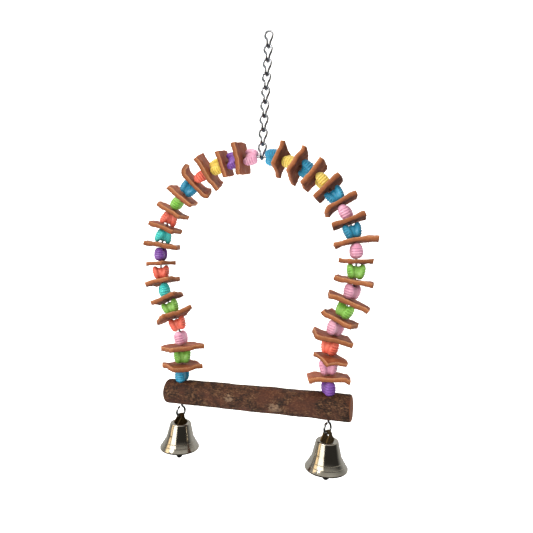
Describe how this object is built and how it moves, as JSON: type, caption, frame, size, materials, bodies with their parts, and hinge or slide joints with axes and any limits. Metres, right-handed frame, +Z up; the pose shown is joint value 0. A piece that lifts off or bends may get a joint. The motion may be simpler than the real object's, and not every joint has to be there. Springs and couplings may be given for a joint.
{
  "type": "bird swing",
  "caption": "Hanging bird swing: a bark perch under a wire arch strung with three-lobed beads and squares of leather, with a bell on each side and a chain to hang it by.",
  "frame": {"origin": "the point inside the top of the uppermost chain link where a hook bears", "axes": "+Z up, +X along the perch to the right as seen from the front, +Y to the back"},
  "size_m": [0.173, 0.0344, 0.3051],
  "materials": {
    "chain_steel": "bright plated",
    "bright_wire": "bright drawn wire",
    "bark": "natural bark, lightly sealed",
    "leather": "vegetable-tanned hide with cut edges",
    "bell_nickel": "polished nickel plate",
    "strap_bronze": "aged bronze plate",
    "clapper_steel": "dark plated",
    "bead_blue": "glossy moulded",
    "bead_teal": "glossy moulded",
    "bead_green": "glossy moulded",
    "bead_purple": "glossy moulded",
    "bead_pink": "glossy moulded",
    "bead_orange": "glossy moulded",
    "bead_yellow": "glossy moulded"
  },
  "bodies": {
    "chain_link_1": {"chain_link_1": "chain_steel"},
    "chain_link_2": {"chain_link_2": "chain_steel"},
    "chain_link_3": {"chain_link_3": "chain_steel"},
    "chain_link_4": {"chain_link_4": "chain_steel"},
    "chain_link_5": {"chain_link_5": "chain_steel"},
    "chain_link_6": {"chain_link_6": "chain_steel"},
    "chain_link_7": {"chain_link_7": "chain_steel"},
    "chain_link_8": {"chain_link_8": "chain_steel"},
    "chain_link_9": {"chain_link_9": "chain_steel"},
    "swing": {"arch_wire": "bright_wire", "perch": "bark", "left_lower_leathers": "leather", "left_upper_leathers": "leather", "right_lower_leathers": "leather", "right_upper_leathers": "leather"},
    "left_bead_01": {"left_bead_01": "bead_blue"},
    "left_bead_02": {"left_bead_02": "bead_green"},
    "left_bead_03": {"left_bead_03": "bead_pink"},
    "left_bead_04": {"left_bead_04": "bead_orange"},
    "left_bead_05": {"left_bead_05": "bead_green"},
    "left_bead_06": {"left_bead_06": "bead_teal"},
    "left_bead_07": {"left_bead_07": "bead_orange"},
    "left_bead_08": {"left_bead_08": "bead_purple"},
    "left_bead_09": {"left_bead_09": "bead_teal"},
    "left_bead_10": {"left_bead_10": "bead_orange"},
    "left_bead_11": {"left_bead_11": "bead_green"},
    "left_bead_12": {"left_bead_12": "bead_blue"},
    "left_bead_13": {"left_bead_13": "bead_orange"},
    "left_bead_14": {"left_bead_14": "bead_yellow"},
    "left_bead_15": {"left_bead_15": "bead_purple"},
    "left_bead_16": {"left_bead_16": "bead_pink"},
    "right_bead_01": {"right_bead_01": "bead_purple"},
    "right_bead_02": {"right_bead_02": "bead_pink"},
    "right_bead_03": {"right_bead_03": "bead_orange"},
    "right_bead_04": {"right_bead_04": "bead_pink"},
    "right_bead_05": {"right_bead_05": "bead_green"},
    "right_bead_06": {"right_bead_06": "bead_pink"},
    "right_bead_07": {"right_bead_07": "bead_green"},
    "right_bead_08": {"right_bead_08": "bead_pink"},
    "right_bead_09": {"right_bead_09": "bead_blue"},
    "right_bead_10": {"right_bead_10": "bead_pink"},
    "right_bead_11": {"right_bead_11": "bead_blue"},
    "right_bead_12": {"right_bead_12": "bead_yellow"},
    "right_bead_13": {"right_bead_13": "bead_blue"},
    "right_bead_14": {"right_bead_14": "bead_yellow"},
    "right_bead_15": {"right_bead_15": "bead_blue"},
    "left_bell": {"left_bell_shell": "bell_nickel", "left_bell_strap": "strap_bronze", "left_clapper_staple": "bright_wire"},
    "left_clapper": {"left_clapper": "clapper_steel"},
    "right_bell": {"right_bell_shell": "bell_nickel", "right_bell_strap": "strap_bronze", "right_clapper_staple": "bright_wire"},
    "right_clapper": {"right_clapper": "clapper_steel"}
  },
  "joints": [
    {"name": "chain_link_2_swing", "type": "hinge", "parent": "chain_link_1", "child": "chain_link_2", "pos_m": [0, 0, -0.0106], "axis": [0, 1, 0], "range_deg": [-22, 22]},
    {"name": "chain_link_3_swing", "type": "hinge", "parent": "chain_link_2", "child": "chain_link_3", "pos_m": [0, 0, -0.0185], "axis": [1, 0, 0], "range_deg": [-22, 22]},
    {"name": "chain_link_4_swing", "type": "hinge", "parent": "chain_link_3", "child": "chain_link_4", "pos_m": [0, 0, -0.0299], "axis": [0, 1, 0], "range_deg": [-22, 22]},
    {"name": "chain_link_5_swing", "type": "hinge", "parent": "chain_link_4", "child": "chain_link_5", "pos_m": [0, 0, -0.0378], "axis": [1, 0, 0], "range_deg": [-22, 22]},
    {"name": "chain_link_6_swing", "type": "hinge", "parent": "chain_link_5", "child": "chain_link_6", "pos_m": [0, 0, -0.0492], "axis": [0, 1, 0], "range_deg": [-22, 22]},
    {"name": "chain_link_7_swing", "type": "hinge", "parent": "chain_link_6", "child": "chain_link_7", "pos_m": [0, 0, -0.0571], "axis": [1, 0, 0], "range_deg": [-22, 22]},
    {"name": "chain_link_8_swing", "type": "hinge", "parent": "chain_link_7", "child": "chain_link_8", "pos_m": [0, 0, -0.0685], "axis": [0, 1, 0], "range_deg": [-22, 22]},
    {"name": "chain_link_9_swing", "type": "hinge", "parent": "chain_link_8", "child": "chain_link_9", "pos_m": [0, 0, -0.0764], "axis": [1, 0, 0], "range_deg": [-22, 22]},
    {"name": "swing_on_chain", "type": "hinge", "parent": "chain_link_9", "child": "swing", "pos_m": [0, 0, -0.08605], "axis": [0.9991, 0, -0.0434], "range_deg": [-30, 30]},
    {"name": "left_bead_01_spin", "type": "hinge", "parent": "swing", "child": "left_bead_01", "pos_m": [-0.0514, 0, -0.24381], "axis": [-0.0618, 0, 0.9981], "continuous": true},
    {"name": "left_bead_02_spin", "type": "hinge", "parent": "swing", "child": "left_bead_02", "pos_m": [-0.05223, 0, -0.23037], "axis": [-0.0618, 0, 0.9981], "continuous": true},
    {"name": "left_bead_03_spin", "type": "hinge", "parent": "swing", "child": "left_bead_03", "pos_m": [-0.05415, 0, -0.21707], "axis": [-0.2489, 0, 0.9685], "continuous": true},
    {"name": "left_bead_04_spin", "type": "hinge", "parent": "swing", "child": "left_bead_04", "pos_m": [-0.05757, 0, -0.20729], "axis": [-0.4093, 0, 0.9124], "continuous": true},
    {"name": "left_bead_05_spin", "type": "hinge", "parent": "swing", "child": "left_bead_05", "pos_m": [-0.06428, 0, -0.19564], "axis": [-0.5255, 0, 0.8508], "continuous": true},
    {"name": "left_bead_06_spin", "type": "hinge", "parent": "swing", "child": "left_bead_06", "pos_m": [-0.07024, 0, -0.18359], "axis": [-0.3579, 0, 0.9337], "continuous": true},
    {"name": "left_bead_07_spin", "type": "hinge", "parent": "swing", "child": "left_bead_07", "pos_m": [-0.07386, 0, -0.17065], "axis": [-0.1779, 0, 0.9841], "continuous": true},
    {"name": "left_bead_08_spin", "type": "hinge", "parent": "swing", "child": "left_bead_08", "pos_m": [-0.075, 0, -0.15726], "axis": [0.0084, 0, 1], "continuous": true},
    {"name": "left_bead_09_spin", "type": "hinge", "parent": "swing", "child": "left_bead_09", "pos_m": [-0.07363, 0, -0.14389], "axis": [0.1945, 0, 0.9809], "continuous": true},
    {"name": "left_bead_10_spin", "type": "hinge", "parent": "swing", "child": "left_bead_10", "pos_m": [-0.0698, 0, -0.13101], "axis": [0.3737, 0, 0.9276], "continuous": true},
    {"name": "left_bead_11_spin", "type": "hinge", "parent": "swing", "child": "left_bead_11", "pos_m": [-0.06363, 0, -0.11906], "axis": [0.5398, 0, 0.8418], "continuous": true},
    {"name": "left_bead_12_spin", "type": "hinge", "parent": "swing", "child": "left_bead_12", "pos_m": [-0.05535, 0, -0.10848], "axis": [0.6871, 0, 0.7266], "continuous": true},
    {"name": "left_bead_13_spin", "type": "hinge", "parent": "swing", "child": "left_bead_13", "pos_m": [-0.04525, 0, -0.09962], "axis": [0.8103, 0, 0.586], "continuous": true},
    {"name": "left_bead_14_spin", "type": "hinge", "parent": "swing", "child": "left_bead_14", "pos_m": [-0.03367, 0, -0.09279], "axis": [0.9052, 0, 0.4249], "continuous": true},
    {"name": "left_bead_15_spin", "type": "hinge", "parent": "swing", "child": "left_bead_15", "pos_m": [-0.02102, 0, -0.08825], "axis": [0.9685, 0, 0.249], "continuous": true},
    {"name": "left_bead_16_spin", "type": "hinge", "parent": "swing", "child": "left_bead_16", "pos_m": [-0.00775, 0, -0.08613], "axis": [0.9979, 0, 0.0643], "continuous": true},
    {"name": "right_bead_01_spin", "type": "hinge", "parent": "swing", "child": "right_bead_01", "pos_m": [0.05539, 0, -0.23719], "axis": [-0.0618, 0, 0.9981], "continuous": true},
    {"name": "right_bead_02_spin", "type": "hinge", "parent": "swing", "child": "right_bead_02", "pos_m": [0.05458, 0, -0.2241], "axis": [-0.0618, 0, 0.9981], "continuous": true},
    {"name": "right_bead_03_spin", "type": "hinge", "parent": "swing", "child": "right_bead_03", "pos_m": [0.05474, 0, -0.211], "axis": [0.1164, 0, 0.9932], "continuous": true},
    {"name": "right_bead_04_spin", "type": "hinge", "parent": "swing", "child": "right_bead_04", "pos_m": [0.05765, 0, -0.19823], "axis": [0.3257, 0, 0.9455], "continuous": true},
    {"name": "right_bead_05_spin", "type": "hinge", "parent": "swing", "child": "right_bead_05", "pos_m": [0.06293, 0, -0.18623], "axis": [0.3946, 0, 0.9188], "continuous": true},
    {"name": "right_bead_06_spin", "type": "hinge", "parent": "swing", "child": "right_bead_06", "pos_m": [0.06698, 0, -0.17377], "axis": [0.2213, 0, 0.9752], "continuous": true},
    {"name": "right_bead_07_spin", "type": "hinge", "parent": "swing", "child": "right_bead_07", "pos_m": [0.0687, 0, -0.16079], "axis": [0.0406, 0, 0.9992], "continuous": true},
    {"name": "right_bead_08_spin", "type": "hinge", "parent": "swing", "child": "right_bead_08", "pos_m": [0.06804, 0, -0.1477], "axis": [-0.1414, 0, 0.99], "continuous": true},
    {"name": "right_bead_09_spin", "type": "hinge", "parent": "swing", "child": "right_bead_09", "pos_m": [0.06501, 0, -0.13495], "axis": [-0.3187, 0, 0.9478], "continuous": true},
    {"name": "right_bead_10_spin", "type": "hinge", "parent": "swing", "child": "right_bead_10", "pos_m": [0.05972, 0, -0.12297], "axis": [-0.4855, 0, 0.8742], "continuous": true},
    {"name": "right_bead_11_spin", "type": "hinge", "parent": "swing", "child": "right_bead_11", "pos_m": [0.05234, 0, -0.11214], "axis": [-0.6361, 0, 0.7716], "continuous": true},
    {"name": "right_bead_12_spin", "type": "hinge", "parent": "swing", "child": "right_bead_12", "pos_m": [0.04312, 0, -0.10283], "axis": [-0.7656, 0, 0.6433], "continuous": true},
    {"name": "right_bead_13_spin", "type": "hinge", "parent": "swing", "child": "right_bead_13", "pos_m": [0.03236, 0, -0.09535], "axis": [-0.8696, 0, 0.4937], "continuous": true},
    {"name": "right_bead_14_spin", "type": "hinge", "parent": "swing", "child": "right_bead_14", "pos_m": [0.02043, 0, -0.08995], "axis": [-0.9448, 0, 0.3276], "continuous": true},
    {"name": "right_bead_15_spin", "type": "hinge", "parent": "swing", "child": "right_bead_15", "pos_m": [0.00771, 0, -0.0868], "axis": [-0.9886, 0, 0.1507], "continuous": true},
    {"name": "left_bell_swing", "type": "hinge", "parent": "swing", "child": "left_bell", "pos_m": [-0.04998, -0.00086, -0.27314], "axis": [0.4218, 0.9063, 0.0261], "range_deg": [-50, 50]},
    {"name": "left_clapper_swing", "type": "hinge", "parent": "left_bell", "child": "left_clapper", "pos_m": [-0.0499, -0.00069, -0.28053], "axis": [0.4218, 0.9063, 0.0261], "range_deg": [-30, 30]},
    {"name": "right_bell_swing", "type": "hinge", "parent": "swing", "child": "right_bell", "pos_m": [0.0568, -0.00086, -0.26653], "axis": [0.4218, 0.9063, 0.0261], "range_deg": [-50, 50]},
    {"name": "right_clapper_swing", "type": "hinge", "parent": "right_bell", "child": "right_clapper", "pos_m": [0.05688, -0.00069, -0.27392], "axis": [0.4218, 0.9063, 0.0261], "range_deg": [-30, 30]}
  ]
}
